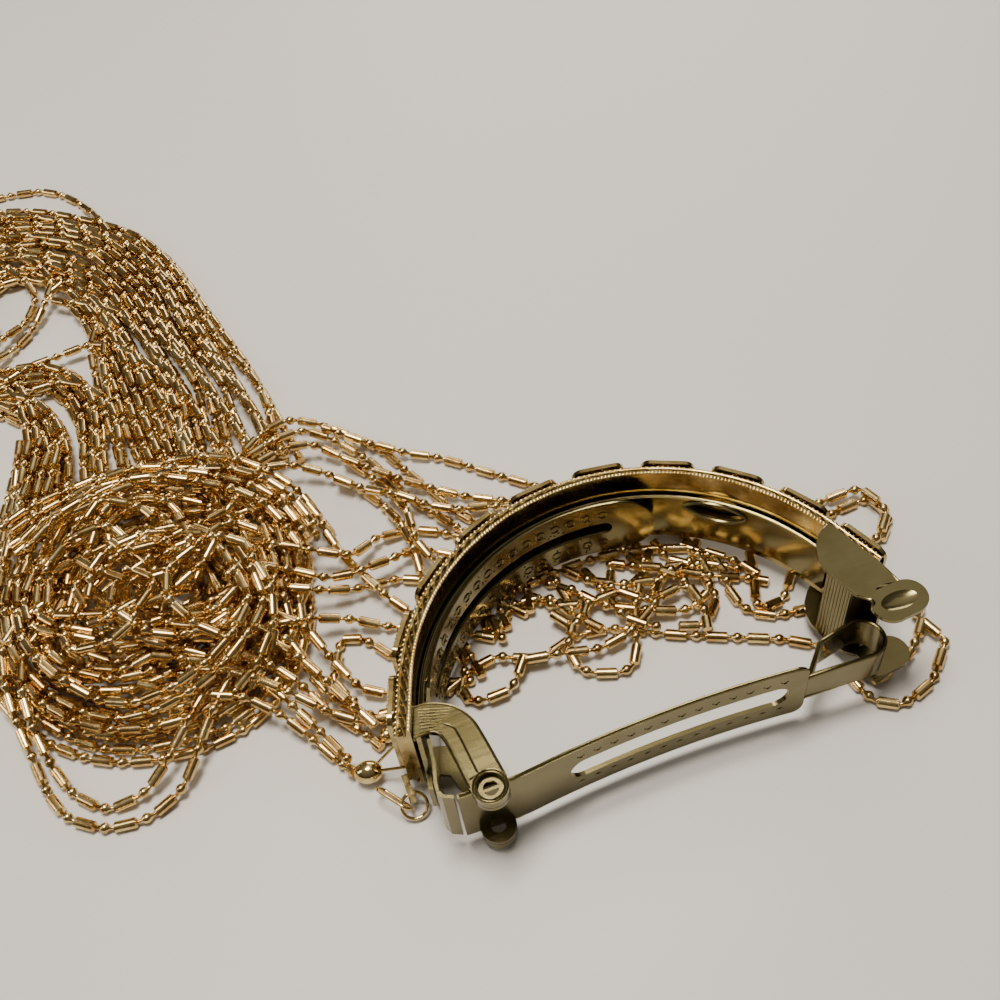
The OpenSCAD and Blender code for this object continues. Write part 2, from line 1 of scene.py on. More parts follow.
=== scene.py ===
# %% [markdown]
# # A ponytail cuff with a chain tassel
# The real object is a cast metal arch that clips round a ponytail. A spring clasp of thin sheet metal
# sits inside it, and a long tassel of fine chain hangs from one end. Here it lies on its long edge and
# the chain lies in a heap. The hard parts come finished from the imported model. This lesson adds the
# chain, the small cast ornament, the finishes, the light and the camera.

# %% Load the fixed parts
from math import cos, degrees, hypot, pi, radians, sin, sqrt

import bpy
import numpy as np
from mathutils import Matrix, Vector


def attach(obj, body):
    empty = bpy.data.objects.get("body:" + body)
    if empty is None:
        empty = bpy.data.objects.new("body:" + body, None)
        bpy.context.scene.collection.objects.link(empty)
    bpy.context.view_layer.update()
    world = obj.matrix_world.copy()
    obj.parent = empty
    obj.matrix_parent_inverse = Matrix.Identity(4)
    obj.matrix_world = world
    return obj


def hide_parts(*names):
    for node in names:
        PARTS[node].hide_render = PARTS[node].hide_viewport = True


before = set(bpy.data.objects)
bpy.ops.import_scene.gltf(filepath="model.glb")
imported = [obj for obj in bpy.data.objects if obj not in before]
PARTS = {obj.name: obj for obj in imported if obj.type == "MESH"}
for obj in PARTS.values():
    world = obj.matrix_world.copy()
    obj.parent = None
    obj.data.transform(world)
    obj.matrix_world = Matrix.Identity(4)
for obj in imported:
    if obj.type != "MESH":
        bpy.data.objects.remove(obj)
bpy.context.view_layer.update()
MM = 0.001
print("parts:", sorted(PARTS))

# %% [markdown]
# ## Sizes shared with the solids
# The arch spans 140 degrees and has two short straight ends. A place on it is easiest to name as a
# maker would with a tape: so many millimetres from the crown, so far from the middle, so high. One
# function turns that into x, y and z, and every bead and plaque is placed with it. Sizes here are in
# millimetres, and they become metres only where a mesh is made.

# %% A tape measure for the arch
CUFF_R, WALL = 25.6, 1.6          # inner radius and thickness of the arch
CUFF_LOW, CUFF_TOP = 1.3, 13.0    # heights of its two edges
RIM_DROP = 1.1                    # from each edge to the beaded rim
ARCH_HALF = radians(70)
END_LEN = 6.3                     # straight stretch at each end
OUTER_R = CUFF_R + WALL


def on_arch(s, r, z):
    """The point s mm from the crown (plus is to the right), r mm from the middle and z mm up."""
    side = 1 if s >= 0 else -1
    arc = ARCH_HALF * r
    turn = pi / 2 - side * min(abs(s), arc) / r
    over = side * max(abs(s) - arc, 0)
    return np.array([r * cos(turn) + over * sin(turn), r * sin(turn) - over * cos(turn), z])


def arch_reach(r):
    """Half the length of the whole band at the radius r."""
    return ARCH_HALF * r + END_LEN


print("outside length of the band:", round(2 * arch_reach(OUTER_R), 1), "mm")

# %% [markdown]
# ## From numbers to a mesh
# Chain is thousands of small turned shapes in a row. Placing them as objects would be slow, so they are
# computed with arrays and joined into a few meshes. The first helper takes points in millimetres and
# faces, makes the object, and shades it smooth except at real corners. The others sweep a ring along a
# line, which gives every wire and every strand in this lesson.

# %% Make a piece from points and faces
EDGE_ANGLE = 38    # degrees: where two faces turn by more, the edge between them is drawn sharp


def piece(name, points, faces, body, slot, crease=EDGE_ANGLE):
    """An object that rides on a body. slot is not used."""
    mesh = bpy.data.meshes.new(name)
    mesh.from_pydata((np.asarray(points) * MM).tolist(), [], faces)
    mesh.update()
    mesh.polygons.foreach_set("use_smooth", [True] * len(mesh.polygons))
    mesh.set_sharp_from_angle(angle=radians(crease))
    made = bpy.data.objects.new(name, mesh)
    bpy.context.scene.collection.objects.link(made)
    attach(made, body)
    triangles = sum(len(f) - 2 for f in faces)
    print(name, "has", triangles, "triangles")
    return made


# %% Sweep rings into a tube
def skin(rings, sides, normal=None, closed=False):
    """Points and faces of one closed tube. Each ring is (middle, direction, radius)."""
    middles = np.array([r[0] for r in rings])
    ahead = np.array([r[1] for r in rings], float)
    radii = np.array([r[2] for r in rings])
    ahead /= np.linalg.norm(ahead, axis=1)[:, None]
    if normal is None:
        across = np.stack([-ahead[:, 1], ahead[:, 0], np.zeros(len(rings))], 1)
    else:
        across = np.tile(np.asarray(normal, float), (len(rings), 1))
    across /= np.maximum(np.linalg.norm(across, axis=1), 1e-9)[:, None]
    above = np.cross(ahead, across)
    turn = np.arange(sides) * 2 * pi / sides
    points = (middles[:, None, :] + radii[:, None, None] * (
        across[:, None, :] * np.cos(turn)[None, :, None] + above[:, None, :] * np.sin(turn)[None, :, None]))
    faces = []
    count = len(rings)
    for i in range(count if closed else count - 1):
        for k in range(sides):
            a, b = i * sides, (i + 1) % count * sides
            faces.append((a + k, a + (k + 1) % sides, b + (k + 1) % sides, b + k))
    if not closed:
        faces.append(tuple(range(sides - 1, -1, -1)))
        faces.append(tuple((count - 1) * sides + k for k in range(sides)))
    return points.reshape(-1, 3), faces


def wire(line, radius, sides, normal=None, closed=False):
    """A plain wire along a line of points. normal is a direction that its path never takes."""
    line = np.asarray(line, float)
    ahead = np.roll(line, -1, axis=0) - np.roll(line, 1, axis=0) if closed else np.gradient(line, axis=0)
    return skin([(p, d, radius) for p, d in zip(line, ahead)], sides, normal, closed)


def join(parts):
    """Joins (points, faces) pairs into one pair."""
    points, faces, start = [], [], 0
    for p, f in parts:
        points.append(p)
        faces += [tuple(v + start for v in face) for face in f]
        start += len(p)
    return np.concatenate(points), faces


# %% [markdown]
# ## Ball and bar chain
# The tassel is dapped bar chain: a short turned tube, a ball, a tube, a ball, held on a thin wire. A
# chain this fine bends only at the wire, so each bar must stay straight however the strand curves. The
# strand is therefore walked link by link: the bar is laid on the chord between two points of its route,
# and the ball sits on the route itself. One skin runs over bar, wire and ball, which keeps the mesh
# closed and small.

# %% Sizes of one bar and one ball
BAR_LONG, BAR_R = 2.7, 0.62
BALL_R = 0.62
WIRE_R, WIRE_GAP = 0.2, 0.38           # the bare wire between a bar and a ball
PERIOD = BAR_LONG + 2 * BALL_R + 2 * WIRE_GAP
FACE_R, FACE_DEEP, BEVEL = 0.35, 0.02, 0.21    # flat end of a bar, and the slope from it to the side
BAR_PROFILE = ((0, WIRE_R), (FACE_DEEP, FACE_R), (BEVEL, BAR_R), (BAR_LONG - BEVEL, BAR_R),
               (BAR_LONG - FACE_DEEP, FACE_R), (BAR_LONG, WIRE_R))
BALL_CUTS = (-0.55, -0.36, 0, 0.36, 0.55)
BALL_PROFILE = tuple((x, sqrt(BALL_R ** 2 - x ** 2)) for x in BALL_CUTS)
CHAIN_CREASE = 48    # a bar's ends turn by more, so they are crisp, and its sides by less
print("one bar, one ball and two wires take", round(PERIOD, 2), "mm")

# %% Measure a line and space its points evenly
STEP = 0.5


def measure(line):
    """How far along a line each of its points is."""
    return np.linalg.norm(np.diff(line, axis=0, prepend=line[:1]), axis=1).cumsum()


def even(line, step=STEP):
    """The same line with its points spaced evenly."""
    along = measure(line)
    s = np.linspace(0, along[-1], max(int(along[-1] / step), 2) + 1)
    return np.stack([np.interp(s, along, row) for row in line.T], 1)


def smooth(points, step=STEP):
    """An even line that runs smoothly through all the given points."""
    p = np.asarray(points, float)
    p = np.vstack([2 * p[0] - p[1], p, 2 * p[-1] - p[-2]])
    t = np.linspace(0, 1, 12, endpoint=False)[:, None]
    rows = [0.5 * (2 * b + (c - a) * t + (2 * a - 5 * b + 4 * c - d) * t ** 2
                   + (3 * b - a - 3 * c + d) * t ** 3) for a, b, c, d in zip(p, p[1:], p[2:], p[3:])]
    return even(np.vstack(rows + [p[-2:-1]]), step)


# %% Walk along a line link by link
END_GAP, SHORTEST = 0.6, 1.0    # nothing begins this near an end, and no cut bar is shorter
AIM = 0.3                       # a ball points from this far before its middle to as far after it


def chain(line, start, sides):
    """Ball and bar chain along a line. start is how far into the pattern it begins."""
    along = measure(line)
    last = along[-1] - END_GAP

    def at(s):
        return np.array([np.interp(s, along, row) for row in line.T])

    rings = []
    s = -start
    while s < last:
        low, high = max(s, 0), min(s + BAR_LONG, along[-1])
        if high - low > SHORTEST:
            a, b = at(low), at(high)
            for x, r in BAR_PROFILE:
                rings.append((a + (b - a) * x / BAR_LONG, b - a, r))
        middle = s + BAR_LONG + WIRE_GAP + BALL_R
        if END_GAP < middle < last:
            c, way = at(middle), at(middle + AIM) - at(middle - AIM)
            for x, r in BALL_PROFILE:
                rings.append((c + way / np.linalg.norm(way) * x, way, r))
        s += PERIOD
    return skin(rings, sides)


# %% [markdown]
# ## How a strand settles
# A strand that falls on others lies over them in low humps. A physics run of thousands of balls would be
# slow, so a height map does it: it stores how high the heap already is at each half millimetre. Each new
# strand takes the height under it, is eased so that it never climbs steeply, and is then added to the
# map. Under the cuff and the clasp the strands stay on the floor, because they pass beneath the wall.

# %% A height map for the heap, and the room under the metal
CELL = 0.5
MAP_FROM = np.array([-92.0, -16.0])
heap = np.zeros((280, 310))
WALL_BAND = (21.8, 29.4)                  # radii between which the clasp and the cuff cover the floor
CATCH_X, CATCH_Y = 19, 12                 # right of this x and in front of this y the catch covers it
UNDER_CATCH, IN_ARCH, OPEN = 1.15, 3.0, 12.0


def ceiling(x, y):
    """The greatest height of a strand's middle at a place."""
    r = hypot(x, y)
    if WALL_BAND[0] < r < WALL_BAND[1] and y > -1:
        return BAR_R
    if x > CATCH_X and y < CATCH_Y:
        return UNDER_CATCH
    return IN_ARCH if r < 22 else OPEN


# %% Let a strand settle on the map
GRADE = 0.3                                   # how steeply a strand may climb, in mm for each mm
EASE = 5                                      # points on either side that soften a height
NESTLE = 0.45                                 # the map takes less than a radius: strands sink together
BEAD_ENDS = ((-33.0, 6.8), (27.2, -3.4))      # strands rise here to reach the end beads
BEAD_HIGH, BEAD_SLOPE = 1.3, 0.25


def ease(heights, climb, pick):
    """Limits the change from point to point, there and back. pick is max or min."""
    for _ in range(2):
        for i in range(1, len(heights)):
            heights[i] = pick(heights[i], heights[i - 1] + climb)
        heights = heights[::-1]
    return heights


def settle(route, top, grade):
    """Gives a flat route its heights, and adds it to the heap."""
    flat = smooth(route)
    cells = np.clip(((flat - MAP_FROM) / CELL).astype(int), 1, np.array(heap.shape) - 2)
    climb = grade * STEP
    z = ease(np.minimum(heap[tuple(cells.T)] + BALL_R + 0.02, top), -climb, max)
    z = np.convolve(np.pad(z, EASE, mode="edge"), np.ones(2 * EASE + 1) / (2 * EASE + 1), mode="valid")
    caps = ease(np.array([ceiling(x, y) for x, y in flat]), climb, min)
    lift = [max(BEAD_HIGH - BEAD_SLOPE * hypot(x - a, y - b) for a, b in BEAD_ENDS) for x, y in flat]
    z = np.maximum(np.minimum(z, caps), np.maximum(lift, BAR_R))
    for (i, j), h in zip(cells, z):
        patch = heap[i - 1:i + 2, j - 1:j + 2]
        np.maximum(patch, h + NESTLE, out=patch)
    return np.column_stack([flat, z])


def strands(routes, luck, top, sides, grade=GRADE):
    """Settled chains along several routes. luck is a seeded random source."""
    return join([chain(settle(r, top, grade), luck.uniform(0, PERIOD), sides) for r in routes])


# %% [markdown]
# ## The long fall
# Some thirty strands leave the heap side by side, run away from the viewer and turn back in a wide
# hairpin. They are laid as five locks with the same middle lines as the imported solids. The strands of a
# lock keep side by side, three on the floor and three in the grooves between them, as real chain that
# was combed by its own weight does. Toward the lower right they part, with the floor between.

# %% Middle lines of the five locks
FALL = (
    ((-28.5, 54), (-30.5, 68), (-33.5, 83), (-35.5, 97), (-39, 108), (-46, 117), (-55, 125), (-67, 128),
     (-77, 122.5), (-82.2, 112), (-81, 100), (-74, 91), (-64, 86.5), (-56.5, 83.5), (-53.5, 75), (-54, 64),
     (-55, 54)),
    ((-32.5, 54), (-34.5, 70), (-37.5, 86), (-39.8, 99), (-43.5, 109), (-51, 117), (-59, 122), (-67, 122.5),
     (-74, 117), (-77.5, 108), (-77, 98), (-74, 90), (-69, 84.5), (-62.5, 80.5), (-59.3, 74), (-58.8, 66),
     (-61, 54)),
    ((-36.5, 54), (-38.5, 72), (-41.5, 88), (-44, 100), (-48.5, 109), (-55, 114.5), (-62, 117.5),
     (-68.5, 116), (-72, 110), (-72, 103), (-70, 97), (-74, 92)),
    ((-40.5, 56), (-42.5, 76), (-45.5, 91), (-48.5, 100.5), (-53, 107), (-59.5, 111), (-65, 109),
     (-66.5, 103), (-65.5, 98), (-69, 94)),
    ((-44.5, 56), (-46.5, 72), (-47.3, 86), (-48.3, 94), (-51, 101)))
FLOOR_ROW, GROOVE_ROW = (-1.36, 0.0, 1.36), (-0.68, 0.68, 2.04)    # mm to the left of a middle line
print("middle lines of", len(FALL), "locks")

# %% Strands beside a middle line
COARSE = 2.0                 # spacing of the points of a middle line
WAVES = (23, 41)             # lengths of the slow waves that a strand makes
ANY_PHASE = 6.3              # a wave begins anywhere in its turn, in radians
EDGE_X, EDGE_Y, EDGE_LEAN = -26.2, 60, 0.195    # right edge of the fall: its x at a y, and its lean
PART_FROM, PART_DEEP, PART_WIDE = 94, 18, 18    # where the strands part: in front of, over, and how wide
PAIR_WIDE, PAIR_SHIFT = 3.4, 0.62               # from pair to pair, and how far a strand moves


def sway(line, luck, size):
    """Slow waves from side to side, in mm, one for each point of a line."""
    s = measure(line)
    return size * sum(luck.uniform(0.4, 1) * np.sin(2 * pi * s / long + luck.uniform(0, ANY_PHASE))
                      for long in WAVES)


def beside(line, off):
    """A strand that keeps off mm to the left of a middle line."""
    way = np.gradient(line, axis=0)
    left = np.stack([-way[:, 1], way[:, 0]], 1) / np.linalg.norm(way, axis=1)[:, None]
    return line + left * np.broadcast_to(off, len(line))[:, None]


def comb(strand):
    """Parts the strands into pairs toward the lower right."""
    x, y = strand.T
    inward = EDGE_X - (y - EDGE_Y) * EDGE_LEAN - x
    part = np.clip((PART_FROM - y) / PART_DEEP, 0, 1) * np.clip((PART_WIDE - inward) / 6, 0, 1)
    return np.column_stack([x + PAIR_SHIFT * part * np.sin(2 * pi * (inward - 0.5) / PAIR_WIDE), y])


# %% Strands that stray from the locks: round the turn, in the curl, and over the left side
EXTRA = (
    ((-79, 119), (-75, 129), (-67, 133.4), (-60, 133.6), (-53, 132), (-48.7, 127.8), (-46, 122),
     (-43.5, 112)),
    ((-37, 97), (-41, 108), (-48.5, 117.5), (-57, 124), (-67, 125.5), (-75.5, 119.5), (-80, 110)),
    ((-42, 99), (-46, 109), (-53, 116), (-60.5, 119.8), (-68, 119.5), (-73, 113)),
    ((-46, 100), (-51, 108), (-58, 113.8), (-65, 113.5), (-69.5, 107)),
    ((-48, 102), (-54, 109.8), (-60, 114), (-66, 111.5), (-68, 104)),
    ((-44, 92), (-48, 97), (-49.5, 101), (-52, 104), (-54.5, 103), (-54, 100), (-50, 97.5), (-46, 93)),
    ((-66, 117), (-61, 118), (-58.4, 113.5), (-55.6, 110), (-54, 105), (-55, 102), (-57.6, 98), (-60.4, 95),
     (-66, 90.5), (-74, 89)),
    ((-67, 115), (-62, 115), (-59.5, 110), (-57.2, 105.5), (-57.5, 102.5), (-60, 98.5), (-65, 94),
     (-71, 92)),
    ((-50.5, 56), (-50.3, 68), (-50.8, 80), (-50.2, 88), (-46.5, 96)),
    ((-49, 56), (-49.6, 70), (-49, 84), (-46, 94)),
    ((-66, 84), (-58, 87.5), (-50.5, 88), (-44, 82), (-41, 72), (-41.5, 60)),
    ((-72, 87), (-64, 82.5), (-55, 81.5), (-49.5, 74), (-50, 60)),
    ((-72, 88), (-65, 84), (-58.5, 78), (-56.5, 68), (-58, 57)),
    ((-70, 86), (-62.5, 79), (-60.8, 72), (-62.5, 64), (-64, 56)),
    ((-66, 89), (-61.6, 84), (-60.2, 77), (-60.4, 70), (-62.2, 62), (-66, 54)),
    ((-67, 87), (-62.6, 83), (-61.5, 77), (-61.6, 70), (-63.4, 62), (-67, 55)),
    ((-74, 92), (-66, 88.5), (-57, 86), (-52, 78), (-52.5, 66), (-53, 56)))
print(len(EXTRA), "strands stray from the locks")

# %% Lay the strands of the fall
FALL_TOP = 2.4
luck = np.random.default_rng(11)
routes = []
for row in (FLOOR_ROW, GROOVE_ROW):
    for lock in FALL:
        middle_line = smooth(lock, COARSE)
        shared = sway(middle_line, luck, 0.25)
        for off in row:
            routes.append(comb(beside(middle_line, off + shared + sway(middle_line, luck, 0.1))))
routes += [np.array(route, float) for route in EXTRA]
fall_chains = piece("fall_chains", *strands(routes, luck, FALL_TOP, 9), "cuff", "rose_gold", CHAIN_CREASE)
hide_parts("tassel_fall")

# %% [markdown]
# ## The heap
# Where the chain was dropped it lies in loops. A real drop makes bundles: a few strands that fell
# together follow each other round, and single strands cross them. So a few short strands close the
# middle, bundles of three or four follow wavy rings round it, single loops are thrown over them, and
# four long bundles sweep round the outside.

# %% A wavy arc
ANGLE_STEP = 14.0


def ring_route(middle, half, begin, sweep, luck, wild=0.085):
    """A wavy arc round a middle point. half is its half width and half depth."""
    angles = np.radians(np.arange(begin, begin + sweep, ANGLE_STEP))
    size = 1 + wild * np.sin(3 * angles + luck.uniform(0, ANY_PHASE))
    size += wild * np.sin(5 * angles + luck.uniform(0, ANY_PHASE)) / 2
    x, y = half[0] * size * np.cos(angles), half[1] * size * np.sin(angles)
    return np.stack([middle[0] + x, middle[1] + y], 1)


# %% Tables of the heap
BUNDLES = (
    # middle x, middle y, half width, half depth, first angle, sweep, strands
    (-50, 38.5, 18.6, 15.8, 95, 330, 4),
    (-50, 39, 13.4, 11.2, 210, 330, 4),
    (-49, 39.5, 8.0, 6.6, 60, 330, 4),
    (-49, 40, 16.0, 13.2, -50, 280, 4),
    (-51, 38, 11.0, 9.4, 130, 270, 4),
    (-46, 41, 12.0, 9.6, 230, 250, 4),
    (-44, 37, 8.0, 8.6, 90, 260, 3),
    (-53, 42, 9.5, 8.0, 20, 240, 3))
FILL = (
    # short strands across the middle of the heap, under all the others
    ((-56, 37), (-52, 40.5), (-47, 42), (-42, 42.5)), ((-55, 41.5), (-50, 38), (-45, 37.5), (-41.5, 40)),
    ((-57, 43), (-52, 42.5), (-47, 39.5), (-43, 38)), ((-53, 35.5), (-49, 36.5), (-45, 35.5), (-41, 37)),
    ((-50, 34), (-48.5, 38), (-46, 42), (-42, 45)))
SWEEPS = (
    # middle lines of the long bundles: two down the left side and along the front, two along the back
    ((-62, 72), (-65.5, 60), (-69, 48), (-69.5, 38), (-66.5, 29), (-60, 22), (-52, 19), (-43, 19), (-36, 24),
     (-34, 33)),
    ((-58, 70), (-62.5, 58), (-66, 47), (-66.5, 38), (-63.5, 30), (-57.5, 24), (-50, 21.5), (-42, 23),
     (-37, 29), (-38, 37)),
    ((-66, 54), (-58, 58), (-48, 58.5), (-38, 55), (-31, 48), (-28, 40)),
    ((-64, 50), (-56, 54), (-47, 54.5), (-38, 51), (-32, 45), (-29.5, 38)))
print(len(FILL), "short strands,", len(BUNDLES), "rings and", len(SWEEPS), "sweeps")

# %% Lay the strands of the heap
NEST_TOP, BESIDE, LOOSE_LOOPS = 8.2, 1.4, 14    # height, strand spacing in a bundle, single loops
luck = np.random.default_rng(5)
routes = [np.array(route, float) for route in FILL]
for x, y, a, b, begin, sweep, count in BUNDLES:
    middle_line = smooth(ring_route((x, y), (a, b), begin, sweep, luck), COARSE)
    for k in range(count):
        own = sway(middle_line, luck, 0.22)
        routes.append(beside(middle_line, (k - (count - 1) / 2) * BESIDE + own))
for _ in range(LOOSE_LOOPS):
    x, y = -48 + luck.uniform(-8, 10), 39 + luck.uniform(-8, 9)
    a, b = luck.uniform(5, 10), luck.uniform(4.5, 8.5)
    routes.append(ring_route((x, y), (a, b), luck.uniform(0, 360), luck.uniform(160, 330), luck, 0.1))
for route in SWEEPS:
    middle_line = smooth(route, COARSE)
    for off in (-BESIDE, 0, BESIDE):
        routes.append(beside(middle_line, off + sway(middle_line, luck, 0.2)))
nest_chains = piece("nest_chains", *strands(routes, luck, NEST_TOP, 10), "cuff", "rose_gold", CHAIN_CREASE)
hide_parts("tassel_nest")
print("the heap is", round(heap.max(), 1), "mm high")

# %% [markdown]
# ## Single strands
# Between the heap and the cuff the strands lie singly on the floor and can be followed one by one, so
# each has its own listed route. Most of the routes are those of the tubes in the imported solids, and
# a few are added where the real strands lie closer. The strands that pass under the wall lie flat there.

# %% Strands at the front, from the heap to the hinge
FRONT = (
    ((-62, 42), (-67, 39), (-68, 32), (-67, 24), (-65, 16), (-61, 12), (-56, 11), (-51, 13), (-47, 18),
     (-42, 24), (-39, 31)),
    ((-60, 40), (-65, 36), (-66, 28), (-64, 19), (-60, 14), (-55, 14), (-51, 17), (-46, 22), (-42, 27),
     (-40, 35)),
    ((-54, 27), (-47, 22), (-42, 19.5), (-38, 15.5), (-35, 10.5), (-33, 7)),
    ((-48, 27), (-40, 21), (-36.5, 15.5), (-34, 10), (-32.6, 7)),
    ((-44, 28), (-37, 21), (-34, 16), (-31, 12), (-29.3, 9)),
    ((-40, 30), (-35, 24), (-34, 19), (-31, 15), (-28, 13), (-22, 13)),
    ((-30, 14), (-32, 18), (-31, 22), (-29, 25), (-26, 22), (-23, 17), (-20, 14), (-16, 13)),
    ((-40, 28), (-32, 27), (-28, 26), (-24, 24), (-18, 21), (-12, 17)),
    ((-52, 30), (-44, 25), (-39, 20), (-35, 16), (-31.5, 13), (-27, 12), (-24, 13)),
    ((-44, 31), (-37, 25), (-33, 18.5), (-30.8, 14), (-29.2, 10.8)),
    ((-42, 33), (-34, 27), (-31, 20), (-28.5, 16), (-24, 15), (-20, 16)))
print(len(FRONT), "strands at the front")

# %% Strands of the wide net behind them
NET = (
    ((-40, 35), (-31, 31), (-26, 30), (-20, 30), (-13, 25), (-8, 19)),
    ((-40, 46), (-29, 45), (-27, 39), (-25, 32), (-22, 26), (-17, 20), (-16, 13)),
    ((-38, 38), (-28, 32), (-22, 32), (-17, 33), (-11, 28), (-11, 18)),
    ((-38, 42), (-26, 35), (-21, 37), (-15, 36), (-9, 30), (-7, 23), (-8, 18)),
    ((-38, 53), (-29, 57), (-24, 57), (-19, 51), (-16, 43), (-12, 35), (-9, 28), (-9, 20)),
    ((-39, 50), (-35, 55), (-28, 60), (-22, 58), (-17, 52), (-14, 45), (-10, 36), (-4, 29), (-3, 18)),
    ((-38, 51), (-30, 52), (-24, 49), (-20, 44), (-18, 37), (-18, 30), (-19, 22), (-17, 17), (-19, 12)),
    ((-34, 53), (-26, 55), (-20, 49), (-17, 40), (-17, 32), (-13, 26), (-12, 16)),
    ((-23, 57), (-15, 50), (-10, 47), (-5, 42), (1, 36), (6, 29), (8, 22), (6, 18)),
    ((-22, 51), (-13, 42), (-7, 38), (-2, 35), (3, 30), (4, 23), (2, 18)),
    ((-24, 48), (-13, 38), (-6, 36), (1, 32), (12, 26), (14, 20), (14, 15)))
LOOSE_TOP = 4.0
luck = np.random.default_rng(3)
settled = strands(FRONT + NET, luck, LOOSE_TOP, 12)
loose_chains = piece("loose_chains", *settled, "cuff", "rose_gold", CHAIN_CREASE)
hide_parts("tassel_nest", "arch_chains")

# %% Strands inside the arch and round its right end
ARCH = (
    ((-24, 12.4), (-20, 13), (-15, 15), (-9, 13), (-4, 14), (1, 13), (6, 10), (12, 7), (18, 4), (22, 1)),
    ((-4, 15), (-6, 11), (-3, 8), (1, 8), (3, 13), (6, 18)),
    ((-13, 22), (-13, 18), (-9, 21), (-5, 20), (-3, 16), (-1, 13)),
    ((2, 19), (3, 17), (6, 15), (10, 19), (13, 17), (13, 12), (9, 9), (6, 11)),
    ((-3, 21), (1, 16), (6, 13), (11, 12), (14, 15)),
    ((12, 22), (16, 17), (15, 12), (17, 8), (21, 7), (28, 6), (32, 4), (34, 1)),
    ((20, 17), (19, 14), (17, 9), (20, 9), (23, 12), (27, 16), (32, 18), (37, 18), (37.8, 15), (35, 12)),
    ((-18, 14), (-19, 11), (-14, 10), (-10, 14)),
    ((33, 3), (33, -1), (34, -3), (32, -5), (30, -7), (27, -8), (24, -8), (22.5, -5.5), (22, -2.5)),
    ((33, 0), (31, -2), (28.6, -3.6)),
    ((0, 24), (1, 20), (1.5, 16), (2.6, 12.6), (6, 10.2)),
    ((-2, 24), (2, 19), (7, 17), (12, 18), (15, 21)),
    ((4, 22), (8, 19), (12, 16), (17, 14), (20, 12)),
    ((6, 24), (7, 20), (10, 17), (11, 12), (10, 8)),
    ((10, 23), (11, 19), (15, 17), (19, 14)),
    ((-8, 23), (-4, 18), (1, 17), (6, 18), (9, 22)),
    ((-12, 13), (-7, 12), (-2, 11), (3, 12), (8, 15), (12, 14)),
    ((-6, 24), (-3, 21), (-1, 17), (-4, 15), (-6, 18)),
    ((22, 19), (26, 19.5), (31, 20), (36, 19.5), (37.2, 17), (36.8, 14), (34, 12), (30, 11)),
    ((-17, 20), (-12, 22.3), (-6, 23.2), (0, 23.6), (6, 23), (12, 21)),
    ((5, 23), (9, 22), (14, 20), (18, 16), (20, 12)))
ARCH_TOP, ARCH_GRADE = 1.8, 0.2
settled = strands(ARCH, luck, ARCH_TOP, 12, ARCH_GRADE)
arch_strands = piece("arch_strands", *settled, "cuff", "rose_gold", CHAIN_CREASE)
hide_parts("arch_chains")

# %% [markdown]
# ## Milgrain
# The rims of the cast cuff and of each plaque carry milgrain, a row of tiny beads that a wheel tool
# rolls into the edge. Each bead is a small closed ball, sunk in the edge for half its height. They are
# placed with the tape measure, so they follow the arch and its straight ends.

# %% Small balls at many places
def balls(places, radii, sides=8, rows=5):
    """Closed balls at the given places, as one pair of points and faces."""
    tilt = np.linspace(0, pi, rows + 1)[1:-1]
    turn = np.arange(sides) * 2 * pi / sides
    shape = [(0, 0, 1)] + [(sin(t) * cos(u), sin(t) * sin(u), cos(t)) for t in tilt for u in turn]
    shape.append((0, 0, -1))
    faces = [(0, 1 + k, 1 + (k + 1) % sides) for k in range(sides)]
    for i in range(len(tilt) - 1):
        for k in range(sides):
            a, b = 1 + i * sides + k, 1 + i * sides + (k + 1) % sides
            faces.append((a, a + sides, b + sides, b))
    last, first = len(shape) - 1, 1 + (len(tilt) - 1) * sides
    faces += [(last, first + (k + 1) % sides, first + k) for k in range(sides)]
    shape = np.array(shape)
    radii = np.broadcast_to(radii, len(places))
    return join([(np.asarray(p) + shape * r, faces) for p, r in zip(places, radii)])


# %% Grain on the beaded rims, and finer grain on the inner rims
RIM_GRAIN, LIP_GRAIN = 0.62, 0.42    # from bead to bead
PROUD = 0.08                         # how far the middle of a rim's bead stands out
LIP_R = CUFF_R + 0.2                 # radius of the inner rims


def grain_row(r, z, step, out=0.0):
    """Places along the whole band at one height, step mm apart."""
    reach = arch_reach(r) - 0.3
    return [on_arch(s, r + out, z) for s in np.arange(-reach, reach, step)]


grain = grain_row(OUTER_R, CUFF_LOW + RIM_DROP, RIM_GRAIN, PROUD)
grain += grain_row(OUTER_R, CUFF_TOP - RIM_DROP, RIM_GRAIN, PROUD)
rim_grain = piece("rim_grain", *balls(grain, RIM_GRAIN / 2), "cuff", "cast_gold")
grain = grain_row(LIP_R, CUFF_LOW + 0.06, LIP_GRAIN) + grain_row(LIP_R, CUFF_TOP - 0.04, LIP_GRAIN)
lip_grain = piece("lip_grain", *balls(grain, 0.19, 6, 4), "cuff", "cast_gold")

# %% [markdown]
# ## Openwork between the rims
# Between the thin inner rim and the beaded outer edge the casting is pierced lacework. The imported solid
# has its pockets. Here two fine wires are laid over them that wind in opposite waves, so that they make
# the row of small eyes that the lacework shows. Half of each wire is sunk in the metal.

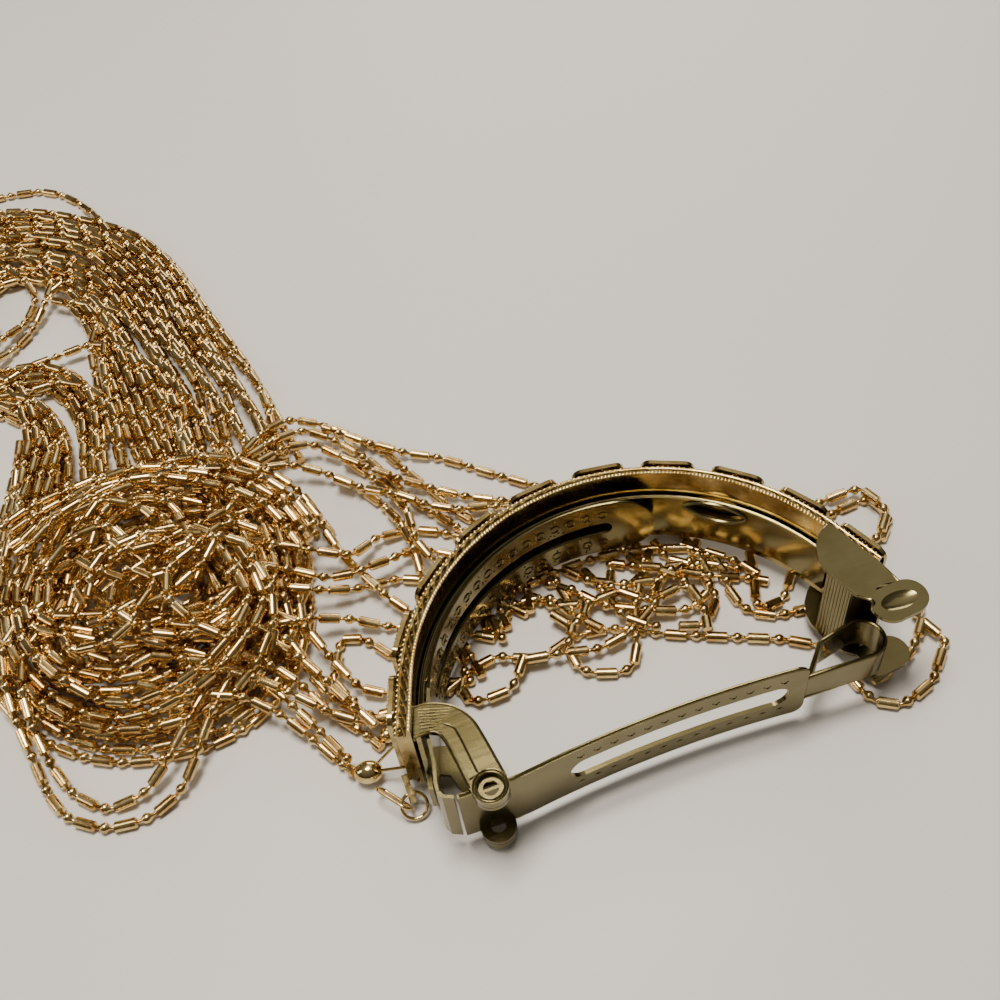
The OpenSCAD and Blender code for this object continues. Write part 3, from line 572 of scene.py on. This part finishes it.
# %% Two waving wires along each ledge
LEDGE_R = CUFF_R + 1.0                       # middle of the ledge
LEDGE_DROP, LEDGE_SLOPE = 0.75, 0.3          # from the cuff's edge to the ledge, and its slope outward
EYE = 2 * radians(3.2) * LEDGE_R             # length of the wave, one eye and its neighbour
LACE_SWING, LACE_R, LACE_STEP = 0.42, 0.15, 0.25
laces = []
for z, up in ((CUFF_TOP - LEDGE_DROP, 1), (CUFF_LOW + LEDGE_DROP, -1)):
    for side in (-1, 1):
        line = []
        reach = arch_reach(LEDGE_R) - LACE_STEP
        for s in np.arange(-reach, reach, LACE_STEP):
            r = LEDGE_R + 0.02 + LACE_SWING * side * cos(2 * pi * s / EYE)
            line.append(on_arch(s, r, z + up * (0.05 - (r - CUFF_R - 0.5) * LEDGE_SLOPE)))
        laces.append(wire(line, LACE_R, 6))
lacework = piece("lacework", *join(laces), "cuff", "cast_gold")

# %% [markdown]
# ## Beaded plaques
# Ten cast plaques stand side by side round the outside of the cuff, and each has a beaded frame. The
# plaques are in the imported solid. Their beads are placed on one rounded rectangle, which a second tape
# measure carries to each plaque in turn.

# %% Beaded edge of each plaque
PLAQUES, PLAQUE_PITCH, PLAQUE_LAST = 10, 7.9, 36.3    # how many, how far apart, and where the last is
PLAQUE_L, PLAQUE_H, PLAQUE_OUT = 6.3, 10.3, 0.98      # length, height, and from the wall to its face
FRAME_IN, SQUARENESS = 0.25, 6                        # edge to the beads, and how square their row is
FRAME_GRAIN = 0.46
MIDDLE_Z = (CUFF_LOW + CUFF_TOP) / 2


def on_plaque(s, across, up, out):
    """A point on the flat plaque whose middle is s mm from the crown."""
    middle = on_arch(s, OUTER_R, MIDDLE_Z)
    low, high = on_arch(s - 0.01, OUTER_R, 0), on_arch(s + 0.01, OUTER_R, 0)
    way = (high - low) / np.linalg.norm(high - low)
    outward = np.array([-way[1], way[0], 0])
    return middle + way * across + outward * out + np.array([0, 0, up])


edge = []
for t in np.linspace(0, 2 * pi, 45):
    far = (abs(cos(t)) ** SQUARENESS + abs(sin(t)) ** SQUARENESS) ** (-1 / SQUARENESS)
    edge.append((far * (PLAQUE_L / 2 - FRAME_IN) * cos(t), far * (PLAQUE_H / 2 - FRAME_IN) * sin(t)))
edge = even(np.array(edge), FRAME_GRAIN)[:-1]
middles = [PLAQUE_LAST - i * PLAQUE_PITCH for i in range(PLAQUES)]
grain = [on_plaque(s, x, z, PLAQUE_OUT) for s in middles for x, z in edge]
plaque_grain = piece("plaque_grain", *balls(grain, 0.21, 6, 4), "cuff", "cast_gold")

# %% [markdown]
# ## Stamped marks on the clasp
# The arm and the bow are stamped from sheet, and the stamp leaves rows of low marks along both rails
# beside the slot: small crescents on the arm, small rings with specks between them on the bow. They
# rise about a tenth of a millimetre, so they are fine wires sunk in the sheet, not paint.

# %% A ring or an arc on an upright face
UPWARD = np.array([0, 0, 1.0])


def curl(place, outward, radius, wire_r, begin=0.0, sweep=2 * pi):
    """A ring or an arc of fine wire. outward is the way that the face looks, seen from above."""
    out = np.array([outward[0], outward[1], 0.0])
    level = np.array([-out[1], out[0], 0.0])
    whole = sweep >= 2 * pi
    turns = begin + np.linspace(0, sweep, 14, endpoint=not whole)
    line = [np.asarray(place) + radius * (level * cos(u) + UPWARD * sin(u)) for u in turns]
    return wire(line, wire_r, 5, out, whole)


# %% Crescents along the rails of the arm
CLIP_MID, SHEET = 6.3, 0.5    # height of the clasp's middle, and the thickness of its sheet
ARM_BEND = 280                # the blade bends as a parabola with this divisor
ARM_ROW = 3.0                 # from the clasp's middle to a row of crescents


def arm_middle(x):
    """The middle of the arm's sheet at x, seen from above."""
    return -4.85 - (x + 18.5) * 0.05 if x < -18.5 else -3.95 - (x + 2) ** 2 / ARM_BEND


marks = []
for x in np.arange(-10.8, 12.6, 1.9):
    slope = -2 * (x + 2) / ARM_BEND
    out = np.array([slope, -1.0]) / hypot(slope, 1)
    for z, begin in ((CLIP_MID - ARM_ROW, 0.3), (CLIP_MID + ARM_ROW, 0.3 + pi)):
        marks.append(curl((x, arm_middle(x) - SHEET / 2, z), out, 0.38, 0.08, begin, 2.5))
arm_marks = piece("arm_marks", *join(marks), "arm", "pale_gold")

# %% Rings and specks along the rails of the bow
BOW_X, BOW_Y, BOW_INNER = -0.56, 0.2, 23.45    # middle of the bow's arc, and radius of its inner face
BOW_ROWS = (CLIP_MID - 2.6, CLIP_MID + 2.6)
SPECKS, SPECK_R, SCATTER = 150, 0.13, 1.4


def on_bow(a, z, sunk=0.0):
    """A point on the bow's inner face at the angle a, or sunk mm into the sheet."""
    return (BOW_X + (BOW_INNER + sunk) * cos(a), BOW_Y + (BOW_INNER + sunk) * sin(a), z)


marks = [curl(on_bow(a, z), (-cos(a), -sin(a)), 0.55, 0.12)
         for a in np.radians(np.arange(80, 156, 4.8)) for z in BOW_ROWS]
luck = np.random.default_rng(8)
specks = []
for _ in range(SPECKS):
    a = radians(luck.uniform(79, 157))
    specks.append(on_bow(a, luck.choice(BOW_ROWS) + luck.uniform(-SCATTER, SCATTER)))
marks.append(balls(specks, SPECK_R, 6, 4))
bow_marks = piece("bow_marks", *join(marks), "cuff", "pale_gold")

# %% [markdown]
# ## Burrs and a raised lip
# The hinge turns on two short tubes that are flared over the ears. Flaring leaves a bright burr round
# the inside and the outside of each collar. Near the catch the strip is lanced: a cut is pushed open,
# and its two edges curl up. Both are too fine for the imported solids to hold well, so they are wires too.

# %% Burred edges of the hinge's collars
PIVOT_X, PIVOT_Y, COLLAR_R, HOLE_R = -20.6, -5.25, 1.9, 1.35
EAR_TOP, EAR_LOW, COLLAR_RISE = 11.3, 1.3, 0.5
burrs = []
for z in (EAR_TOP + COLLAR_RISE, EAR_LOW - COLLAR_RISE + 0.1):
    for r in (COLLAR_R - 0.16, HOLE_R + 0.1):
        line = [(PIVOT_X + r * cos(u), PIVOT_Y + r * sin(u), z)
                for u in np.linspace(0, 2 * pi, 40, endpoint=False)]
        burrs.append(wire(line, 0.14, 8, UPWARD, True))
collar_burrs = piece("collar_burrs", *join(burrs), "cuff", "pale_gold")

# %% Raised lip of the opening near the catch
STRIP_INNER = CUFF_R - 0.7                     # radius of the strip's inner face
LANCE_S, LANCE_Z = radians(40) * STRIP_INNER, 8.2    # the middle of the opening on the strip
LANCE_HALF, LIP_BEND, LIP_DROP = 3.75, 6.8, 5.6      # half its length, and the arc of each edge
LOW_LIP, HIGH_LIP = 0.5, 0.12                  # how far the edges stand out
lips = []
for side, rise in ((-1, LOW_LIP), (1, HIGH_LIP)):
    line = []
    for along in np.linspace(-LANCE_HALF, LANCE_HALF, 25):
        up = side * (sqrt(LIP_BEND ** 2 - along ** 2) - LIP_DROP)
        swell = rise * cos(along / LANCE_HALF * pi / 2)
        line.append(on_arch(LANCE_S + along, STRIP_INNER - 0.02 - swell, LANCE_Z + up))
    lips.append(wire(line, 0.25, 8))
lance_lip = piece("lance_lip", *join(lips), "cuff", "pale_gold")

# %% [markdown]
# ## Rounded sheet edges
# Sheet that was blanked in a press and tumbled has rounded edges, and on the photograph these edges are
# the brightest lines of the clasp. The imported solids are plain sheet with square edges. A wire almost as
# thick as the sheet, laid along each edge, gives the round that catches the light.

# %% Arcs and level lines
EDGE_STEP = 0.8    # spacing of the points along a long straight edge


def bend(c, r, begin, end, steps):
    """Points of an arc, seen from above. The angles are in degrees."""
    return [(c[0] + r * cos(u), c[1] + r * sin(u)) for u in np.radians(np.linspace(begin, end, steps))]


def at_height(flat, z):
    """The points of a flat line, all at one height."""
    return np.column_stack([flat, np.full(len(flat), z)])


# %% Edges of the arm and its loop
BLADE_HALF, BLADE_FROM, BLADE_TO, CORNER_R = 4.4, -23.8, 14.6, 1.2    # the blade and its round corners
EDGE_R, INSET = 0.23, 0.08                                            # a wire, and how far in it lies
LOOP_HALF = 2.1                                                       # half the loop's height
TIP, ROLL, NECK = (14.8, -4.95), (22.4, -3.0), (18.6, -2.7)           # the loop's end and its two bends
corner = [(BLADE_TO - CORNER_R + CORNER_R * sin(u), BLADE_HALF - INSET - CORNER_R + CORNER_R * cos(u))
          for u in np.radians(np.linspace(0, 90, 7))]
flat = [(x, BLADE_HALF - INSET) for x in np.arange(BLADE_FROM, BLADE_TO - CORNER_R, EDGE_STEP)] + corner
flat += [(x, -up) for x, up in flat[::-1]]
edges = [wire([(x, arm_middle(x), CLIP_MID + up) for x, up in flat], EDGE_R, 8, (0, 1, 0))]
loop = [TIP] + bend(ROLL, 2.25, -92, 102, 20) + bend(NECK, 1.15, 102, 142, 6) + [TIP]
loop = even(np.array(loop))
for up in (LOOP_HALF - INSET, INSET - LOOP_HALF):
    edges.append(wire(at_height(loop, CLIP_MID + up), EDGE_R, 8))
arm_edges = piece("arm_edges", *join(edges), "arm", "pale_gold")

# %% Edges of the bow, its slot and the base strip
BOW_OUTER, BOW_FREE = 23.8, radians(65)    # radius of the bow's outer face, and where its free end is
BOW_SUNK = 0.17                            # from its inner face to the middle of its sheet
BOW_FAR, SLOT_FAR = radians(95) * BOW_OUTER, radians(89) * BOW_OUTER    # lengths from the free end
SLOT_NEAR, SLOT_HALF = 6.05, 1.0
STRIP_HALF, STRIP_EDGE_R = 3.1, 0.22
LEANING = (0.2, 0.1, 1)    # a direction that these edges never take


def bow_line(flat):
    """A line on the bow, from pairs of mm from its free end and mm above its middle."""
    return [on_bow(BOW_FREE + s / BOW_OUTER, CLIP_MID + up, BOW_SUNK) for s, up in flat]


turns = np.radians(np.linspace(0, 180, 20))
half = BLADE_HALF - 0.05
flat = [(s, half) for s in np.arange(BOW_FAR, BLADE_HALF + 0.2, -EDGE_STEP)]
flat += [(BLADE_HALF - half * sin(u), half * cos(u)) for u in turns]
flat += [(s, -half) for s in np.arange(BLADE_HALF + 0.4, BOW_FAR, EDGE_STEP)]
edges = [wire(bow_line(flat), 0.19, 8, LEANING)]
flat = [(s, SLOT_HALF) for s in np.arange(SLOT_FAR, SLOT_NEAR, -EDGE_STEP)]
flat += [(SLOT_NEAR - SLOT_HALF * sin(u), SLOT_HALF * cos(u)) for u in turns[1:-1]]
flat += [(s, -SLOT_HALF) for s in np.arange(SLOT_NEAR, SLOT_FAR, EDGE_STEP)]
edges.append(wire(bow_line(flat), 0.13, 6, LEANING))
for up in (STRIP_HALF, -STRIP_HALF):
    line = [on_arch(s, CUFF_R - 0.45, CLIP_MID + up) for s in np.arange(-32.4, 31.5, EDGE_STEP)]
    edges.append(wire(line, STRIP_EDGE_R, 8))
clasp_edges = piece("clasp_edges", *join(edges), "cuff", "pale_gold")

# %% Edges of the hinge ear, and the lines engraved on it
EAR_WINDOW = ((-25.9, 2.9), (-24.3, 2.95), (-23.5, 2.4), (-23.05, 0.8), (-22.55, -4.4))
EAR_OUTER = ((-24.9, 6.3), (-23.7, 6.2), (-22.2, 5.6), (-20.9, 4.6), (-19.95, 3.05), (-19.45, 1),
             (-18.8, -4.6))
EAR_RIB = ((-22.6, 3.1), (-21.95, 2.5), (-21.65, 1.2), (-21.3, -3.2))
LINES, LINE_R = 8, 0.06
FIRST, LAST = np.array(((-24.6, 5.9), (-21.4, 4.8))), np.array(((-25.1, 3.5), (-22.8, 2.8)))
edges = []
for line, rise, r in ((EAR_WINDOW, -0.06, 0.16), (EAR_OUTER, -0.1, 0.18), (EAR_RIB, 0.2, 0.14)):
    edges.append(wire(at_height(smooth(line, 0.4), EAR_TOP + rise), r, 8))
for t in np.linspace(0, 1, LINES):
    left, right = FIRST + (LAST - FIRST) * t
    edges.append(wire(at_height([left, (left + right) / 2, right], EAR_TOP), LINE_R, 5))
ear_edges = piece("ear_edges", *join(edges), "cuff", "pale_gold")

# %% Edge of the thumb wing, and ribs on the web under it
WING_Z, WING_EDGE_R = 13.3, 0.24
WING_BACK = [(24.1, 8.65), (23.4, 8.3), (22.65, 7.7), (21.7, 6.55), (21.12, 5.1), (21.02, 3.8), (21.5, 2.05),
             (22.4, -0.55), (23.2, -1.4)]
WING_FRONT = [(26.55, 1.6), (25.45, 4.95)]
PAD_R, PAD_LEFT, PAD_RIGHT = 1.87, (24.8, -3), (26.9, -2.8)    # the oval pad is two arcs
WEB_X, WEB_Y, WEB_DX, WEB_DY = 21.0, 3.3, 1.02, -3.2           # the web's first edge and its run
rim = WING_BACK + bend(PAD_LEFT, PAD_R, 140, 272, 10) + bend(PAD_RIGHT, PAD_R, 272, 445, 14) + WING_FRONT
rim = even(np.array(rim + rim[:1]), 0.4)[:-1]
edges = []
for u in np.arange(0.08, 0.95, 0.12):
    x, y = WEB_X + WEB_DX * u, WEB_Y + WEB_DY * u
    edges.append(wire([(x, y, z) for z in (2.6, 7.5, 13)], 0.11, 6, (1, 0, 0)))
edges.append(wire(at_height(rim, WING_Z), WING_EDGE_R, 8, UPWARD, True))
wing_edges = piece("wing_edges", *join(edges), "cuff", "pale_gold")

# %% [markdown]
# ## Finishes
# All metal here is plated, so it is a metal to the eye: metallic 1, the default index of refraction, and
# a base colour that is the colour of its reflections. What tells one plating from another is that colour
# and how rough the surface is. Each finish gets slow changes of colour, a finer change of roughness, and
# a bump from the size of its real marks.

# %% Colours and one way to add a node
def linear(code):
    """An sRGB hex colour as the linear colour that Blender computes with."""
    parts = [int(code[i:i + 2], 16) / 255 for i in (1, 3, 5)]
    return tuple(c / 12.92 if c <= 0.04045 else ((c + 0.055) / 1.055) ** 2.4 for c in parts) + (1.0,)


def add(tree, kind, inputs=None, **settings):
    """Adds a node. An input that is given a socket is linked, and any other is set."""
    made = tree.nodes.new(kind)
    for key, value in settings.items():
        setattr(made, key, value)
    for key, value in (inputs or {}).items():
        if isinstance(value, bpy.types.NodeSocket):
            tree.links.new(value, made.inputs[key])
        else:
            made.inputs[key].default_value = value
    return made


def empty_material(name):
    """A new material and its node tree, with no nodes in it."""
    material = bpy.data.materials.new(name)
    material.use_nodes = True
    material.node_tree.nodes.clear()
    return material, material.node_tree


# %% A plated metal
def plated(name, light, deep, patch_mm, rough, grain_mm, depth_mm, stretch=(1, 1, 1)):
    """A plated metal. patch_mm is the size of its colour patches, grain_mm of its finest marks.

    rough holds the least and the greatest roughness, and depth_mm is the height of the marks. An axis
    with a small stretch has long marks.
    """
    material, tree = empty_material(name)
    place = add(tree, "ShaderNodeTexCoord").outputs["Object"]
    patches = add(tree, "ShaderNodeTexNoise", {"Vector": place, "Scale": 1 / (patch_mm * MM), "Detail": 3.0})
    tint = add(tree, "ShaderNodeValToRGB", {"Fac": patches.outputs["Fac"]})
    tint.color_ramp.elements[0].position = 0.36
    tint.color_ramp.elements[0].color = linear(deep)
    tint.color_ramp.elements[1].position = 0.62
    tint.color_ramp.elements[1].color = linear(light)
    drawn = add(tree, "ShaderNodeMapping", {"Vector": place, "Scale": stretch})
    marks = add(tree, "ShaderNodeTexNoise", {"Vector": drawn.outputs["Vector"], "Scale": 1 / (grain_mm * MM),
                                             "Detail": 4.0})
    gloss = add(tree, "ShaderNodeMapRange", {"Value": marks.outputs["Fac"], "From Min": 0.3, "From Max": 0.7,
                                             "To Min": rough[0], "To Max": rough[1]})
    bump = add(tree, "ShaderNodeBump", {"Height": marks.outputs["Fac"], "Strength": 1.0,
                                        "Distance": depth_mm * MM})
    metal = add(tree, "ShaderNodeBsdfPrincipled", {
        "Base Color": tint.outputs["Color"], "Metallic": 1.0, "Roughness": gloss.outputs["Result"],
        "Normal": bump.outputs["Normal"]})
    add(tree, "ShaderNodeOutputMaterial", {"Surface": metal.outputs["BSDF"]})
    print(name, "grain", grain_mm, "mm, roughness", rough)
    return material


# %% The four platings
# Rose gold on brass chain, polished in a barrel: each bar and ball has one small warm highlight.
chain_plate = plated("polished_rose_gold_plate", "#E6CB90", "#C09B60", 2.5, (0.17, 0.27), 0.4, 0.0012)
# Gold on a polished zinc casting: the mould leaves soft ripples that bend its reflections.
cast_plate = plated("polished_cast_gold_plate", "#BEAB78", "#97804E", 3.0, (0.12, 0.24), 0.5, 0.004)
# Gold on beads and rings that tumbling has burnished, so it is smoother than the cast gold. Its colour, the
# palest of all, is a painted highlight that makes the beads and rims read bright.
painted_highlight_gold = plated("burnished_gold_painted_highlight", "#E2CE94", "#BFA262", 3.0, (0.1, 0.2), 0.5, 0.004)
# Pale gold on rolled steel sheet: fine rolling marks from left to right make it satin. They are about
# 0.05 mm wide, too fine to show here, so they are drawn 0.2 mm wide.
satin_plate = plated("satin_pale_gold_plate", "#7D7451", "#716745", 6.0, (0.16, 0.24), 0.2, 0.0015,
                     (0.06, 1.0, 1.0))

# %% Give each part its finish
FINISHES = {
    cast_plate: ("cuff", "right_bead", lacework),
    # beads, rims, the end bead and the ring take the paler gold as a painted highlight
    painted_highlight_gold: ("left_ring", "left_bead", rim_grain, lip_grain, plaque_grain),
    satin_plate: ("clasp_base", "catch", "spring_bow", "clip_arm", arm_marks, bow_marks, lance_lip,
                  collar_burrs, arm_edges, clasp_edges, ear_edges, wing_edges),
    chain_plate: ("left_link", "side_bead", "tassel_nest", "tassel_fall", "arch_chains", fall_chains,
                  nest_chains, loose_chains, arch_strands)}
for finish, covered in FINISHES.items():
    for made in covered:
        bare = PARTS[made] if isinstance(made, str) else made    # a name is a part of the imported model
        bare.data.materials.clear()
        bare.data.materials.append(finish)
    print(finish.name, "covers", len(covered), "pieces")

# %% [markdown]
# ## Floor, light and camera
# The set is a plain pale floor under soft studio light. Polished metal shows only what it reflects, so
# the light boxes are large, and the room round them is kept dim: the dark brown between the highlights
# is the dim room. A wide, weak box behind gives the flat tops of the clasp their even tone. The camera
# stands where the photograph was taken, above and to the front left.

# %% A plain pale floor
FLOOR_SIDE = 3    # metres
bpy.ops.mesh.primitive_grid_add(x_subdivisions=4, y_subdivisions=4, size=FLOOR_SIDE, location=(0, 0, 0))
floor = bpy.context.object
floor.name = "floor"
pale, tree = empty_material("pale_matt_board")
place = add(tree, "ShaderNodeTexCoord").outputs["Object"]
cloud = add(tree, "ShaderNodeTexNoise", {"Vector": place, "Scale": 6.0, "Detail": 2.0})
shade = add(tree, "ShaderNodeValToRGB", {"Fac": cloud.outputs["Fac"]})
shade.color_ramp.elements[0].color = linear("#DBDAD8")
shade.color_ramp.elements[1].color = linear("#E2E1DF")
board = add(tree, "ShaderNodeBsdfPrincipled", {"Base Color": shade.outputs["Color"], "Roughness": 0.45})
add(tree, "ShaderNodeOutputMaterial", {"Surface": board.outputs["BSDF"]})
floor.data.materials.append(pale)
print("the floor is", FLOOR_SIDE, "m wide")

# %% Soft light boxes
MIDDLE = (-0.02, 0.04, 0)    # all the boxes look here
WARM, WHITE = "#FFF4E4", "#FFF8EC"


def light_box(name, place, size, power, colour):
    """A rectangular lamp. Places and sizes are in metres, and its power is in watts."""
    data = bpy.data.lights.new(name, "AREA")
    data.shape = "RECTANGLE"
    data.size, data.size_y = size
    data.energy = power
    data.color = linear(colour)[:3]
    box = bpy.data.objects.new(name, data)
    box.location = place
    box.rotation_euler = (Vector(MIDDLE) - Vector(place)).to_track_quat("-Z", "Y").to_euler()
    bpy.context.scene.collection.objects.link(box)
    print("light box", name, "has", power, "W")


light_box("key", (-0.04, 0.10, 0.55), (0.24, 0.16), 3.6, WARM)
light_box("side", (-0.50, 0.10, 0.30), (0.10, 0.30), 0.6, WARM)
light_box("rear", (0.25, 0.55, 0.22), (0.40, 0.06), 0.9, WARM)
light_box("fill", (0.20, 0.32, 0.50), (0.50, 0.36), 0.3, WHITE)

# %% A dim room round them, darker near the floor than overhead
world = bpy.data.worlds.new("dim_room")
world.use_nodes = True
tree = world.node_tree
tree.nodes.clear()
sky = add(tree, "ShaderNodeTexCoord").outputs["Generated"]
height = add(tree, "ShaderNodeSeparateXYZ", {"Vector": sky}).outputs["Z"]
room = add(tree, "ShaderNodeValToRGB", {"Fac": height})
room.color_ramp.elements[0].position = 0.05
room.color_ramp.elements[0].color = linear("#4E443A")
room.color_ramp.elements[1].position = 0.9
room.color_ramp.elements[1].color = linear("#A8A29A")
ROOM_GLOW = 0.45
glow = add(tree, "ShaderNodeBackground", {"Color": room.outputs["Color"], "Strength": ROOM_GLOW})
add(tree, "ShaderNodeOutputWorld", {"Surface": glow.outputs["Background"]})
bpy.context.scene.world = world
print("the room glows with strength", ROOM_GLOW)

# %% The camera of the photograph
CAMERA_AT = Vector((-0.02895, -0.0573, 0.120))    # in metres
LENS_MM, SENSOR_MM, SHIFT_UP = 43.2, 36, 0.0245
LEAN = radians(8)                                 # how far the camera leans over
# The directions of a camera that is turned 14 degrees to the right and tipped 52 degrees down
look = Vector((0.1489, 0.5974, -0.7880))
level = Vector((0.9703, -0.2419, 0))
upright = Vector((0.1906, 0.7646, 0.6157))
right = cos(LEAN) * level - sin(LEAN) * upright
above = sin(LEAN) * level + cos(LEAN) * upright
lens = bpy.data.cameras.new("camera")
lens.lens, lens.sensor_width = LENS_MM, SENSOR_MM
lens.shift_y = SHIFT_UP
lens.clip_start = 0.005
camera = bpy.data.objects.new("camera", lens)
turned = Matrix((right, above, -look)).transposed().to_4x4()
camera.matrix_world = Matrix.Translation(CAMERA_AT) @ turned
bpy.context.scene.collection.objects.link(camera)
bpy.context.scene.camera = camera
print("the camera stands", round(CAMERA_AT.z / MM), "mm up")
print("it sees", round(degrees(lens.angle)), "degrees")
